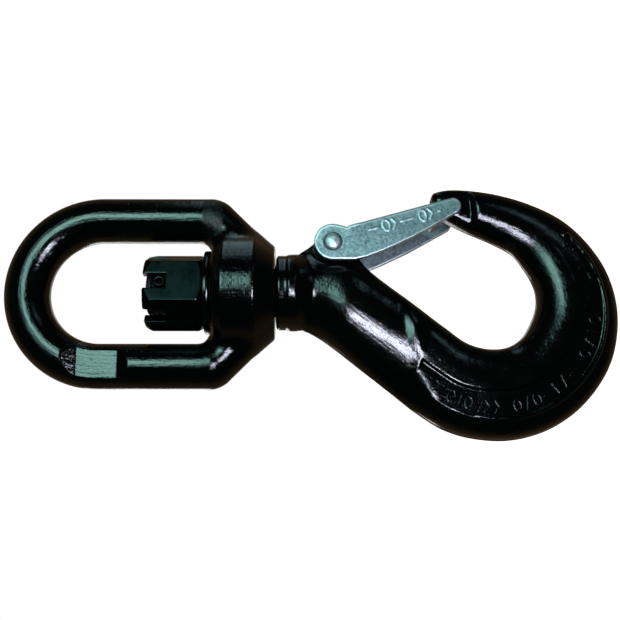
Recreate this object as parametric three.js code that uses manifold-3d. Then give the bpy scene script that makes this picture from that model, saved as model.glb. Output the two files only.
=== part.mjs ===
// Swivel hook: a sling hook with a spring latch, turning in a closed eye.
// Millimetres, +Z up along the shank, +X toward the mouth of the hook.
// The origin is the seat inside the top of the eye.
import * as THREE from "three";
import { mergeVertices } from "three/addons/utils/BufferGeometryUtils.js";
import Module from "manifold-3d";

const wasm = await Module();
wasm.setup();

const GAP = 0.3; // running clearance between neighbouring pieces

// Swivel eye: a round bar bent into a bow, with two legs that run into a bored boss.
const EYE = {
  bar: 9.2, // radius of the bar
  rootBar: 8.0, // its radius where a leg ends inside the boss
  bow: 30.25, // radius of the bow's centreline, and half the spacing of the legs
  legEnd: -65.5, // height of the elbow where each leg turns in toward the boss
  rootX: 13, // where the leg's centreline ends, inside the boss
  rootZ: -85,
  bossTop: -66,
  bossBottom: -91.4,
  bossR: 23,
  faceR: 18.6, // flat seat of the thrust washer
  endR: 17.3, // lower end of the boss's cone
  coneZ: -83.5,
  bore: 10.6,
};
// Stamping flat on the near side of one leg, left blank.
const PAD = { x: -30.2, z: -21.5, width: 11.8, length: 16.4, face: 7.15 };

// Shank and collar of the hook.
const SHANK = { r: 10, top: -40, chamfer: 1.4 };
const COLLAR = { r: 15.2, top: -91.8, bottom: -101 };

// The forging below the collar: back edge (x, z), throat edge (x, z), half thickness, squareness.
const STATIONS = [
  [-15.2, -97, 15.2, -97, 15.1, 2.0],
  [-15.6, -103, 16.0, -104, 12.5, 2.1],
  [-18.6, -109, 17.0, -115, 12.5, 2.2],
  [-23.6, -116, 10.4, -127, 12.8, 2.3],
  [-31.6, -126, 2.0, -138, 11.4, 2.5],
  [-40.3, -137, -6.4, -149, 10.4, 2.5],
  [-49.0, -148, -14.6, -159.5, 10.7, 2.5],
  [-55.6, -159, -20.8, -168, 11.3, 2.6],
  [-59.0, -171.5, -23.3, -176.5, 11.6, 2.6],
  [-59.2, -186, -22.6, -184.5, 11.6, 2.6],
  [-54.6, -201, -18.5, -190.9, 11.6, 2.6],
  [-44.6, -215, -11.5, -195.4, 11.6, 2.6],
  [-29.0, -225.9, -4.0, -197.8, 11.4, 2.5],
  [-10.0, -229.9, 3.0, -197.0, 10.8, 2.4],
  [7.0, -227.3, 9.8, -193.4, 9.9, 2.2],
  [20.2, -220.0, 16.2, -188.5, 9.2, 2.1],
  [30.4, -210.0, 19.9, -182.3, 8.9, 2.0],
  [37.3, -197.0, 22.8, -176.1, 8.8, 2.0],
  [41.3, -184.0, 25.4, -170.4, 8.7, 2.1],
  [43.1, -172.0, 27.9, -165.7, 8.6, 2.2],
  [43.2, -162.0, 30.5, -161.0, 8.5, 2.3],
  [42.0, -156.6, 31.5, -158.3, 8.3, 2.4],
];
// Milled on both sides of the tip, between the cheeks.
const TIP_FLAT = { x: 33.5, z: -156, r: 15.4, half: 6.5 };
// The panel along each side of the bowl: its ends along the forging, its edges across it, its floor.
const PANEL = { from: 0.262, to: 0.735, back: 0.19, throat: 0.53, y: 9.7 };
const SEAT = { x: -3, z: -198.15, length: 9, width: 7 }; // flat at the bottom of the bowl

// Latch pivot and the directions of the closed latch.
const PIVOT = { x: 17.9, z: -114.4 };
const LATCH_TILT = THREE.MathUtils.degToRad(15.7); // from straight down toward the mouth
const LUG = { r: 6.2, half: 5.6, flatR: 11.6, flatHalf: 11.6, pocketR: 8.4 };
const RIVET = { r: 2.5, hole: 2.8, headR: 3.9, headH: 1.9, tailR: 3.6, tailH: 1.3 };

// Pressed latch: u runs from the pivot toward the tip, v from the throat to the outside.
const SHEET = 2.2;
const CHEEK = { inner: 12.2, heelR: 7.3, topV: 4.7, tipU: 50.4, tipR: 3.4, webFrom: 9.6 };
const TONGUE = { from: 38.2, drop: 5.4, to: 44.8, v: -0.5, half: 4.2 };

// Slotted nut, its pin and the thrust washer.
const NUT = { flats: 28.4, top: -39.3, bottom: -62.7, slot: 6, slotDepth: 9.2, bore: 10.4 };
const NUT_TURN = THREE.MathUtils.degToRad(-81.7); // direction of the near end of the pin
const PIN = { r: 2.4, wall: 0.9, split: 0.9, length: 27, z: -45.9, hole: 2.75 };
const WASHER = { r: 17, bore: 10.5, top: -63, bottom: -65.7 };

// Double torsion spring on the rivet.
const SPRING = { wire: 0.6, coil: 3.95, from: 58, to: 950, inner: 6.5, pitch: 1.25 };

const material = (color, roughness, metalness) =>
  new THREE.MeshStandardMaterial({ color, roughness, metalness });
const enamel = material(0x0b0d10, 0.22, 0.0);
const darkSteel = material(0x2b3638, 0.35, 0.8);
const zinc = material(0x9fb6bb, 0.35, 1.0);
const brightSteel = material(0xb9bcc0, 0.25, 1.0);

// A closed geometry as a solid.
function solid(geometry) {
  const g = geometry.clone();
  g.deleteAttribute("normal");
  g.deleteAttribute("uv");
  const m = mergeVertices(g, 1e-4);
  const index = [...m.index.array];
  const kept = [];
  for (let i = 0; i < index.length; i += 3) {
    const [a, b, c] = index.slice(i, i + 3);
    if (a !== b && b !== c && c !== a) kept.push(a, b, c);
  }
  const made = new wasm.Manifold(
    new wasm.Mesh({
      numProp: 3,
      vertProperties: m.attributes.position.array,
      triVerts: new Uint32Array(kept),
    }),
  );
  if (made.volume() < 0) throw new Error("a piece is inside out");
  return made;
}

function mesh(name, made, mat) {
  const { vertProperties, triVerts } = made.getMesh();
  const g = new THREE.BufferGeometry();
  g.setAttribute("position", new THREE.BufferAttribute(vertProperties, 3));
  g.setIndex(new THREE.BufferAttribute(triVerts, 1));
  g.computeVertexNormals();
  const out = new THREE.Mesh(g, mat);
  out.name = name;
  return out;
}

// A solid skinned over closed rings of points, with a fan over each end.
function loft(rings) {
  const n = rings[0].length;
  const points = rings.flat();
  const index = [];
  for (let i = 0; i + 1 < rings.length; i++)
    for (let k = 0; k < n; k++) {
      const a = i * n + k;
      const b = i * n + ((k + 1) % n);
      index.push(a, b, b + n, a, b + n, a + n);
    }
  for (const [ring, start, turn] of [
    [rings[0], 0, true],
    [rings.at(-1), (rings.length - 1) * n, false],
  ]) {
    const centre = ring.reduce((s, p) => s.add(p), new THREE.Vector3()).divideScalar(n);
    points.push(centre);
    for (let k = 0; k < n; k++) {
      const [a, b] = [start + k, start + ((k + 1) % n)];
      index.push(...(turn ? [b, a, points.length - 1] : [a, b, points.length - 1]));
    }
  }
  const g = new THREE.BufferGeometry().setFromPoints(points);
  g.setIndex(index);
  return g;
}

// A turned solid about Z from a profile of [radius, height].
function turned(profile, segments = 40) {
  const g = new THREE.LatheGeometry(
    profile.map(([r, z]) => new THREE.Vector2(r, z)),
    segments,
  );
  return solid(g.rotateX(Math.PI / 2));
}

// A flat outline in X and Z, thickened along Y from y0 to y1.
function plate(points, y0, y1) {
  const shape = new THREE.Shape(points.map(([x, z]) => new THREE.Vector2(x, z)));
  const g = new THREE.ExtrudeGeometry(shape, { depth: y1 - y0, bevelEnabled: false });
  return solid(g.rotateX(Math.PI / 2).translate(0, y1, 0));
}

function rod(x, z, r, y0, y1, segments = 28) {
  const g = new THREE.CylinderGeometry(r, r, y1 - y0, segments);
  return solid(g.translate(x, (y0 + y1) / 2, z));
}

function box(x0, x1, y0, y1, z0, z1) {
  const g = new THREE.BoxGeometry(x1 - x0, y1 - y0, z1 - z0);
  return solid(g.translate((x0 + x1) / 2, (y0 + y1) / 2, (z0 + z1) / 2));
}

function arc(cx, cz, r, from, to, steps) {
  return Array.from({ length: steps + 1 }, (_, i) => {
    const a = THREE.MathUtils.degToRad(from + ((to - from) * i) / steps);
    return [cx + r * Math.cos(a), cz + r * Math.sin(a)];
  });
}

// A round bar along a path in the XZ plane; a third number at a point is its radius there.
// Its rings start half a step off, so a facet faces each way in the plane.
function bar(path, r, sides) {
  return solid(
    loft(
      path.map(([x, z], i) => {
        const radius = path[i][2] ?? r;
        const [x0, z0] = path[Math.max(i - 1, 0)];
        const [x1, z1] = path[Math.min(i + 1, path.length - 1)];
        const along = new THREE.Vector3(x1 - x0, 0, z1 - z0).normalize();
        const side = new THREE.Vector3(along.z, 0, -along.x);
        return Array.from({ length: sides }, (_, k) => {
          const a = (2 * Math.PI * (k + 0.5)) / sides;
          return new THREE.Vector3(x, 0, z)
            .addScaledVector(side, radius * Math.cos(a))
            .add(new THREE.Vector3(0, radius * Math.sin(a), 0));
        });
      }),
    ),
  );
}

function swivelEye() {
  const leg = [
    [EYE.rootX, EYE.rootZ, EYE.rootBar],
    [EYE.bow - 2.6, EYE.legEnd - 3.6],
    [EYE.bow - 0.7, EYE.legEnd - 0.6],
    [EYE.bow, EYE.legEnd + 3],
    [EYE.bow, -43],
  ];
  const path = [
    ...leg,
    ...arc(0, -EYE.bow + EYE.bar - 0.08, EYE.bow, 0, 180, 25),
    ...leg.map(([x, ...rest]) => [-x, ...rest]).reverse(),
  ];
  const gusset = [
    [EYE.bow, EYE.bossTop + 6.5],
    [EYE.bow - EYE.bar + 0.2, EYE.bossTop + 6.5],
    [EYE.bow - EYE.bar - 0.9, EYE.bossTop + 3.2],
    [EYE.bow - EYE.bar - 3.3, EYE.bossTop + 0.4],
    [EYE.bow - EYE.bar - 3.3, EYE.bossTop - 3],
    [EYE.bow, EYE.bossTop - 3],
  ];
  const boss = turned([
    [0, EYE.bossBottom],
    [EYE.endR, EYE.bossBottom],
    [EYE.bossR, EYE.coneZ],
    [EYE.bossR, EYE.bossTop - 4.2],
    [EYE.bossR - 1.4, EYE.bossTop - 1.4],
    [EYE.faceR, EYE.bossTop],
    [0, EYE.bossTop],
  ]);
  const bore = turned([[0, -100], [EYE.bore, -100], [EYE.bore, EYE.bossTop + 12], [0, EYE.bossTop + 12]]);

  return bar(path, EYE.bar, 20)
    .add(boss)
    .add(plate(gusset.toReversed(), -6, 6))
    .add(plate(gusset.map(([x, z]) => [-x, z]), -6, 6))
    .subtract(bore)
    .subtract(
      box(
        PAD.x - PAD.width / 2, PAD.x + PAD.width / 2,
        -EYE.bar - 2, -PAD.face,
        PAD.z - PAD.length / 2, PAD.z + PAD.length / 2,
      ),
    );
}

// Curves of the hook's two edges, its half thickness and squareness, along the forging from 0 to 1.
const backEdge = new THREE.CatmullRomCurve3(
  STATIONS.map(([x, z]) => new THREE.Vector3(x, 0, z)),
  false,
  "centripetal",
);
const throatEdge = new THREE.CatmullRomCurve3(
  STATIONS.map(([, , x, z]) => new THREE.Vector3(x, 0, z)),
  false,
  "centripetal",
);
function between(column, t) {
  const s = t * (STATIONS.length - 1);
  const i = Math.min(Math.floor(s), STATIONS.length - 2);
  return THREE.MathUtils.lerp(STATIONS[i][column], STATIONS[i + 1][column], s - i);
}

function hookRing(t, shrink = 1, push = 0) {
  const back = backEdge.getPoint(t);
  const throat = throatEdge.getPoint(t);
  const centre = back.clone().add(throat).multiplyScalar(0.5);
  const half = throat.clone().sub(back).multiplyScalar(0.5);
  const ahead = new THREE.Vector3(-half.z, 0, half.x).normalize().multiplyScalar(-push);
  const power = 2 / between(5, t);
  return Array.from({ length: 24 }, (_, k) => {
    const a = (-2 * Math.PI * (k + 0.5)) / 24;
    const n = Math.sign(Math.cos(a)) * Math.abs(Math.cos(a)) ** power;
    const y = Math.sign(Math.sin(a)) * Math.abs(Math.sin(a)) ** power;
    return centre
      .clone()
      .add(ahead)
      .addScaledVector(half, n * shrink)
      .add(new THREE.Vector3(0, y * between(4, t) * shrink, 0));
  });
}

function hookBody() {
  const rings = [];
  const steps = 3 * (STATIONS.length - 1);
  for (let i = 0; i <= steps; i++) rings.push(hookRing(i / steps));
  rings.push(hookRing(1, 0.87, 1.1), hookRing(1, 0.5, 1.7));
  let hook = solid(loft(rings));
  hook = hook.add(
    turned([
      [0, COLLAR.bottom - 4],
      [13.5, COLLAR.bottom - 4],
      [14.6, COLLAR.bottom],
      [COLLAR.r, COLLAR.bottom + 1],
      [COLLAR.r, COLLAR.top - 0.8],
      [COLLAR.r - 0.8, COLLAR.top],
      [SHANK.r, COLLAR.top],
      [SHANK.r, SHANK.top - SHANK.chamfer],
      [SHANK.r - SHANK.chamfer, SHANK.top],
      [0, SHANK.top],
    ]),
  );
  hook = hook.add(
    plate(
      [
        [9, -101.5],
        [15.6, -101.5],
        [17.6, -104.6],
        ...arc(PIVOT.x, PIVOT.z, LUG.r, 58, -62, 10),
        [8, -129],
        [2, -124],
      ],
      -LUG.half,
      LUG.half,
    ),
  );
  for (const s of [-1, 1]) {
    const side = (r, from) => rod(PIVOT.x, PIVOT.z, r, ...(s > 0 ? [from, 20] : [-20, -from]), 36);
    hook = hook.subtract(side(LUG.flatR, LUG.flatHalf)).subtract(side(LUG.pocketR, LUG.half));
    const tipSpan = s > 0 ? [TIP_FLAT.half, 16] : [-16, -TIP_FLAT.half];
    hook = hook.subtract(rod(TIP_FLAT.x, TIP_FLAT.z, TIP_FLAT.r, ...tipSpan, 40));
    // shallow panel that follows the back of the bowl
    const crescent = [];
    for (let i = 0; i <= 16; i++) {
      const t = THREE.MathUtils.lerp(PANEL.from, PANEL.to, i / 16);
      crescent.push(backEdge.getPoint(t).lerp(throatEdge.getPoint(t), PANEL.back));
    }
    for (let i = 16; i >= 0; i--) {
      const t = THREE.MathUtils.lerp(PANEL.from, PANEL.to, i / 16);
      crescent.push(backEdge.getPoint(t).lerp(throatEdge.getPoint(t), PANEL.throat));
    }
    const panelSpan = s > 0 ? [PANEL.y, 16] : [-16, -PANEL.y];
    hook = hook.subtract(plate(crescent.map((p) => [p.x, p.z]), ...panelSpan));
  }
  hook = hook
    .subtract(rod(PIVOT.x, PIVOT.z, RIVET.hole, -12, 12, 20))
    .subtract(box(
      SEAT.x - SEAT.length / 2, SEAT.x + SEAT.length / 2,
      -SEAT.width / 2, SEAT.width / 2,
      SEAT.z, SEAT.z + 6,
    ));
  const cross = new THREE.CylinderGeometry(PIN.hole, PIN.hole, 30, 20).rotateZ(Math.PI / 2);
  return hook.subtract(solid(cross.rotateZ(NUT_TURN).translate(0, 0, PIN.z)));
}

function slottedNut() {
  const outline = new THREE.Shape(
    Array.from({ length: 6 }, (_, k) => {
      const a = (Math.PI / 3) * (k + 0.5);
      const r = NUT.flats / 2 / Math.cos(Math.PI / 6);
      return new THREE.Vector2(r * Math.cos(a), r * Math.sin(a));
    }),
  );
  const hex = new THREE.ExtrudeGeometry(outline, { depth: NUT.top - NUT.bottom, bevelEnabled: false });
  const cone = turned([
    [0, NUT.bottom],
    [14.4, NUT.bottom],
    [16.6, NUT.bottom + 1.7],
    [16.6, NUT.top - 3.3],
    [14, NUT.top],
    [0, NUT.top],
  ]);
  const bore = turned([
    [0, NUT.bottom - 1],
    [NUT.bore, NUT.bottom - 1],
    [NUT.bore, NUT.top + 1],
    [0, NUT.top + 1],
  ]);
  let nut = solid(hex.translate(0, 0, NUT.bottom)).intersect(cone).subtract(bore);
  for (let k = 0; k < 3; k++) {
    const slot = new THREE.BoxGeometry(50, NUT.slot, NUT.slotDepth + 2);
    slot.translate(0, 0, NUT.top - NUT.slotDepth / 2 + 1).rotateZ((k * Math.PI) / 3);
    nut = nut.subtract(solid(slot));
  }
  return nut.rotate([0, 0, THREE.MathUtils.radToDeg(NUT_TURN)]);
}

function springPin() {
  const half = Math.asin(PIN.split / 2 / PIN.r);
  const shape = new THREE.Shape();
  shape.absarc(0, 0, PIN.r, half, 2 * Math.PI - half, false);
  shape.absarc(0, 0, PIN.r - PIN.wall, 2 * Math.PI - half * 1.5, half * 1.5, true);
  const g = new THREE.ExtrudeGeometry(shape, { depth: PIN.length, bevelEnabled: false, curveSegments: 18 });
  g.translate(0, 0, -PIN.length / 2).rotateY(Math.PI / 2).rotateZ(NUT_TURN).translate(0, 0, PIN.z);
  return solid(g);
}

// From latch coordinates to X and Z.
const toXZ = ([u, v]) => [
  PIVOT.x + u * Math.sin(LATCH_TILT) + v * Math.cos(LATCH_TILT),
  PIVOT.z - u * Math.cos(LATCH_TILT) + v * Math.sin(LATCH_TILT),
];

function latchChannel() {
  const { heelR, topV, tipU, tipR, inner, webFrom } = CHEEK;
  const outline = [
    ...arc(0, 0, heelR, 62, 258, 16),
    [3.2, -8.5],
    [6.5, -9.4],
    [11, -9.7],
    [18, -9.1],
    [32, -6.7],
    ...arc(tipU, topV - tipR, tipR, -80, 90, 9),
    [34, topV],
    [webFrom - 1.4, topV],
    [webFrom - 2.4, topV - 0.6],
    [5.8, 5.1],
  ];
  const cheek = outline.map(toXZ).reverse();
  const web = [
    [webFrom, topV - SHEET],
    [TONGUE.from - 0.4, topV - SHEET],
    [TONGUE.from + 0.6, topV],
    [webFrom, topV],
  ];
  const tongue = [
    [TONGUE.from - 3, topV - SHEET],
    [TONGUE.from - 1, topV - SHEET],
    [TONGUE.from + TONGUE.drop - 1.4, TONGUE.v - SHEET],
    [TONGUE.to, TONGUE.v - SHEET],
    [TONGUE.to, TONGUE.v],
    [TONGUE.from + TONGUE.drop, TONGUE.v],
    [TONGUE.from + 0.6, topV],
    [TONGUE.from - 3, topV],
  ];
  const outer = inner + SHEET;
  return plate(cheek, -outer, -inner)
    .add(plate(cheek, inner, outer))
    .add(plate(web.map(toXZ), -outer, outer))
    .add(plate(tongue.map(toXZ), -TONGUE.half, TONGUE.half))
    .subtract(rod(PIVOT.x, PIVOT.z, RIVET.hole, -20, 20, 20));
}

function latchRivet() {
  const out = CHEEK.inner + SHEET + GAP;
  const dome = Array.from({ length: 6 }, (_, i) => {
    const a = (Math.PI / 2) * (i / 6);
    return [RIVET.headR * Math.cos(a), out + RIVET.headH * Math.sin(a)];
  });
  const g = new THREE.LatheGeometry(
    [
      [0, -out - RIVET.tailH],
      [RIVET.tailR - 0.8, -out - RIVET.tailH],
      [RIVET.tailR, -out - 0.5],
      [RIVET.tailR, -out],
      [RIVET.r, -out],
      [RIVET.r, out],
      ...dome,
      [0, out + RIVET.headH],
    ].map(([r, y]) => new THREE.Vector2(r, y)),
    24,
  );
  return solid(g.rotateX(Math.PI).translate(PIVOT.x, 0, PIVOT.z));
}

// Middle leg under the web, a coil on each side of the lug, and end legs that bear on the hook.
function latchSpring() {
  const at = ([u, v], y) => {
    const [x, z] = toXZ([u, v]);
    return new THREE.Vector3(x, y, z);
  };
  const half = (s) => {
    const { coil, from, to, inner, pitch } = SPRING;
    const points = [at([26.6, 0.9], s * 2.2), at([25.2, 0.9], s * 3.6), at([14, 1.3], s * 5.2)];
    const steps = Math.round((to - from) / 30);
    for (let i = 0; i <= steps; i++) {
      const turn = ((to - from) * i) / steps;
      const a = THREE.MathUtils.degToRad(from + turn);
      points.push(at([coil * Math.cos(a), coil * Math.sin(a)], s * (inner + (pitch * turn) / 360)));
    }
    points.push(at([2.2, -7.0], s * (inner + (pitch * (to - from)) / 360)));
    return points;
  };
  const path = [...half(-1).reverse(), at([27, 0.9], 0), ...half(1)];
  const curve = new THREE.CatmullRomCurve3(path, false, "centripetal");
  const section = new THREE.Shape();
  section.absarc(0, 0, SPRING.wire, 0, 2 * Math.PI, false);
  return solid(
    new THREE.ExtrudeGeometry(section, {
      steps: 150,
      curveSegments: 3,
      extrudePath: curve,
      bevelEnabled: false,
    }),
  );
}

function thrustWasher() {
  return turned([
    [WASHER.bore, WASHER.bottom],
    [WASHER.r - 0.4, WASHER.bottom],
    [WASHER.r, WASHER.bottom + 0.4],
    [WASHER.r, WASHER.top - 0.4],
    [WASHER.r - 0.4, WASHER.top],
    [WASHER.bore, WASHER.top],
    [WASHER.bore, WASHER.bottom],
  ]);
}

const latch = new THREE.Group();
latch.add(mesh("latch_channel", latchChannel(), zinc), mesh("latch_rivet", latchRivet(), brightSteel));

const hook = new THREE.Group();
hook.add(
  mesh("hook_body", hookBody(), enamel),
  mesh("slotted_nut", slottedNut(), darkSteel),
  mesh("nut_spring_pin", springPin(), darkSteel),
  mesh("latch_spring", latchSpring(), brightSteel),
  latch,
);

const swivelHook = new THREE.Group();
swivelHook.add(
  mesh("swivel_eye", swivelEye(), enamel),
  mesh("thrust_washer", thrustWasher(), darkSteel),
  hook,
);

export default swivelHook;
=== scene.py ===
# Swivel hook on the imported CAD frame. Forged, pressed and milled pieces are distance fields that are meshed;
# turned pieces and the wire are swept. Lengths are in millimetres until a mesh is made.
import math
import bpy
import numpy as np
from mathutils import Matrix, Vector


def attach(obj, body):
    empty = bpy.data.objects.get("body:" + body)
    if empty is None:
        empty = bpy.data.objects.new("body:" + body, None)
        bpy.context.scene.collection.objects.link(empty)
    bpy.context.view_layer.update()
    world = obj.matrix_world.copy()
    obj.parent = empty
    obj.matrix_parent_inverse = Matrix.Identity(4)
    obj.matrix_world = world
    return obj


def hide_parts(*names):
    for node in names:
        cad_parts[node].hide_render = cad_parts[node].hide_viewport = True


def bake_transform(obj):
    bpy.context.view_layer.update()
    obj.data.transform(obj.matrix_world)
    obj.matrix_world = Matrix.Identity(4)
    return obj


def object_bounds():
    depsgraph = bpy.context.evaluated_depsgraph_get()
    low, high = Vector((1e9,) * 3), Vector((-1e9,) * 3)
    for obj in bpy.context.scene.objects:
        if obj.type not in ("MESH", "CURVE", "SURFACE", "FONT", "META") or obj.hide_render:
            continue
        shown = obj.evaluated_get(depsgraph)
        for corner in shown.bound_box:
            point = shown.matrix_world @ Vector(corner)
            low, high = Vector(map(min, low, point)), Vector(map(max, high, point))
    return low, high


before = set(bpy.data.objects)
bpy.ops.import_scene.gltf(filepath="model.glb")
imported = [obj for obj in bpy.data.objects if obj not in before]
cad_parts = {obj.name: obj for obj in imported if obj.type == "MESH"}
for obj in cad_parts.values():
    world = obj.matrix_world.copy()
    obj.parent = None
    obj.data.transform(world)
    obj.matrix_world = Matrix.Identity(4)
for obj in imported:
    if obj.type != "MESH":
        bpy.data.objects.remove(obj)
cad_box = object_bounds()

import openvdb
from mathutils import Matrix, Vector

MM = 0.001


# ---------------------------------------------------------------- distance fields
def smin(a, b, k):
    """The union of two fields, blended where they are within about k of each other."""
    h = np.clip(0.5 + 0.5 * (b - a) / k, 0, 1)
    return b * (1 - h) + a * h - k * h * (1 - h)


def smax(a, b, k):
    """The part that two fields share, with its edge rounded by k."""
    return -smin(-a, -b, k)


def step(x, lo, hi):
    """0 below lo, 1 above hi, with a soft change between."""
    s = np.clip((x - lo) / (hi - lo), 0, 1)
    return s * s * (3 - 2 * s)


def corner(a, b, r):
    """The part that two fields share, with its edge a true round of radius r."""
    a, b = a + r, b + r
    return np.minimum(np.maximum(a, b), 0) + np.hypot(np.maximum(a, 0), np.maximum(b, 0)) - r


def extrude(flat, y, half, r):
    """A flat field thickened to |y| < half, with its edges rounded by r."""
    return corner(flat, np.abs(y) - half, r)


def segment(px, pz, a, b):
    """Distance to a segment, and how far along it the nearest point is."""
    dx, dz = b[0] - a[0], b[1] - a[1]
    t = np.clip(((px - a[0]) * dx + (pz - a[1]) * dz) / (dx * dx + dz * dz), 0, 1)
    return np.hypot(px - a[0] - t * dx, pz - a[1] - t * dz), t


def polygon(px, pz, points):
    """Signed distance to a closed outline."""
    d = np.full(np.broadcast(px, pz).shape, 1e9, np.float32)
    inside = np.zeros(d.shape, bool)
    n = len(points)
    for i in range(n):
        a, b = points[i], points[(i + 1) % n]
        d = np.minimum(d, segment(px, pz, a, b)[0])
        if a[1] != b[1]:
            cross = (a[1] > pz) != (b[1] > pz)
            inside ^= cross & (px < (b[0] - a[0]) * (pz - a[1]) / (b[1] - a[1]) + a[0])
    return np.where(inside, -d, d)


def smooth_line(points, per=8):
    """A centripetal Catmull-Rom curve through the points."""
    p = np.array(points, float)
    p = np.vstack([2 * p[0] - p[1], p, 2 * p[-1] - p[-2]])
    out = []
    for i in range(1, len(p) - 2):
        p0, p1, p2, p3 = p[i - 1 : i + 3]
        t0 = 0
        t1 = t0 + max(np.linalg.norm(p1 - p0) ** 0.5, 1e-4)
        t2 = t1 + max(np.linalg.norm(p2 - p1) ** 0.5, 1e-4)
        t3 = t2 + max(np.linalg.norm(p3 - p2) ** 0.5, 1e-4)
        for s in np.arange(per) / per:
            t = t1 + (t2 - t1) * s
            a1 = (t1 - t) / (t1 - t0) * p0 + (t - t0) / (t1 - t0) * p1
            a2 = (t2 - t) / (t2 - t1) * p1 + (t - t1) / (t2 - t1) * p2
            a3 = (t3 - t) / (t3 - t2) * p2 + (t - t2) / (t3 - t2) * p3
            b1 = (t2 - t) / (t2 - t0) * a1 + (t - t0) / (t2 - t0) * a2
            b2 = (t3 - t) / (t3 - t1) * a2 + (t - t1) / (t3 - t1) * a3
            out.append((t2 - t) / (t2 - t1) * b1 + (t - t1) / (t2 - t1) * b2)
    out.append(p[-2])
    return np.array(out)


def arc(cx, cz, r, start, end, n):
    """Points on a circle from one angle to another, in degrees."""
    return [
        (cx + r * math.cos(math.radians(start + (end - start) * i / n)),
         cz + r * math.sin(math.radians(start + (end - start) * i / n)))
        for i in range(n + 1)
    ]


def mesh_of(name, field, lo, hi, h, place=Matrix.Identity(4), grain=None):
    """Meshes where field(x, y, z) is zero, between two corners, with normals from the field itself."""
    axes = [np.arange(a, b + h, h, dtype=np.float32) for a, b in zip(lo, hi)]
    d = field(axes[0][:, None, None], axes[1][None, :, None], axes[2][None, None, :]).astype(np.float32)
    band = 4 * h
    for side in ((0, 0), (0, -1), (1, 0), (1, -1), (2, 0), (2, -1)):
        cut = [slice(None)] * 3
        cut[side[0]] = side[1]
        d[tuple(cut)] = np.maximum(d[tuple(cut)], h)
    grid = openvdb.FloatGrid(band)
    grid.copyFromArray(np.clip(d, -band, band))
    points, quads = grid.convertToQuads(0.0)
    normal = []
    i = np.clip(np.floor(points).astype(int), 1, np.array(d.shape) - 3)
    f = (points - i).astype(np.float32)
    for axis in range(3):
        g = np.gradient(d, axis=axis)
        s = 0
        for c in np.ndindex(2, 2, 2):
            w = np.prod([f[:, k] if c[k] else 1 - f[:, k] for k in range(3)], axis=0)
            s = s + w * g[i[:, 0] + c[0], i[:, 1] + c[1], i[:, 2] + c[2]]
        normal.append(s)
    normal = np.stack(normal, 1)
    normal /= np.maximum(np.linalg.norm(normal, axis=1, keepdims=True), 1e-9)
    at = points * h + np.array(lo)
    flow = grain(at) if grain else at
    co = at * MM
    turn = np.array(place)[:3, :3]
    co = co @ turn.T + np.array(place)[:3, 3]
    normal = normal @ turn.T
    me = bpy.data.meshes.new(name)
    me.from_pydata(co.tolist(), [], quads.tolist())
    me.polygons.foreach_set("use_smooth", np.ones(len(me.polygons), bool))
    me.normals_split_custom_set_from_vertices(normal.tolist())
    set_flow(me, flow)
    me.update()
    ob = bpy.data.objects.new(name, me)
    bpy.context.collection.objects.link(ob)
    return ob


def set_flow(me, flow):
    """Keeps at each vertex its place across, through and along the piece, for the grain of its surface."""
    layer = me.attributes.new("flow", "FLOAT_VECTOR", "POINT")
    layer.data.foreach_set("vector", np.asarray(flow, np.float32).ravel())


def turned(name, profile, n=96, place=Matrix.Identity(4), wave=None):
    """A solid turned about Z from (radius, height) points; wave(angle, radius, height) may shift a radius."""
    verts, faces = [], []
    for r, z in profile:
        for k in range(n):
            a = 2 * math.pi * k / n
            q = wave(a, r, z) if wave else r
            verts.append((place @ Vector((q * math.cos(a) * MM, q * math.sin(a) * MM, z * MM)))[:])
    for i in range(len(profile) - 1):
        for k in range(n):
            a, b = i * n + k, i * n + (k + 1) % n
            faces.append((a, b, b + n, a + n))
    faces.append([*range(n)][::-1])
    faces.append([*range((len(profile) - 1) * n, len(profile) * n)])
    me = bpy.data.meshes.new(name)
    me.from_pydata(verts, [], faces)
    me.validate()
    me.polygons.foreach_set("use_smooth", np.ones(len(me.polygons), bool))
    set_flow(me, np.array([v.co for v in me.vertices]) / MM)
    me.update()
    ob = bpy.data.objects.new(name, me)
    bpy.context.collection.objects.link(ob)
    return ob


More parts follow.
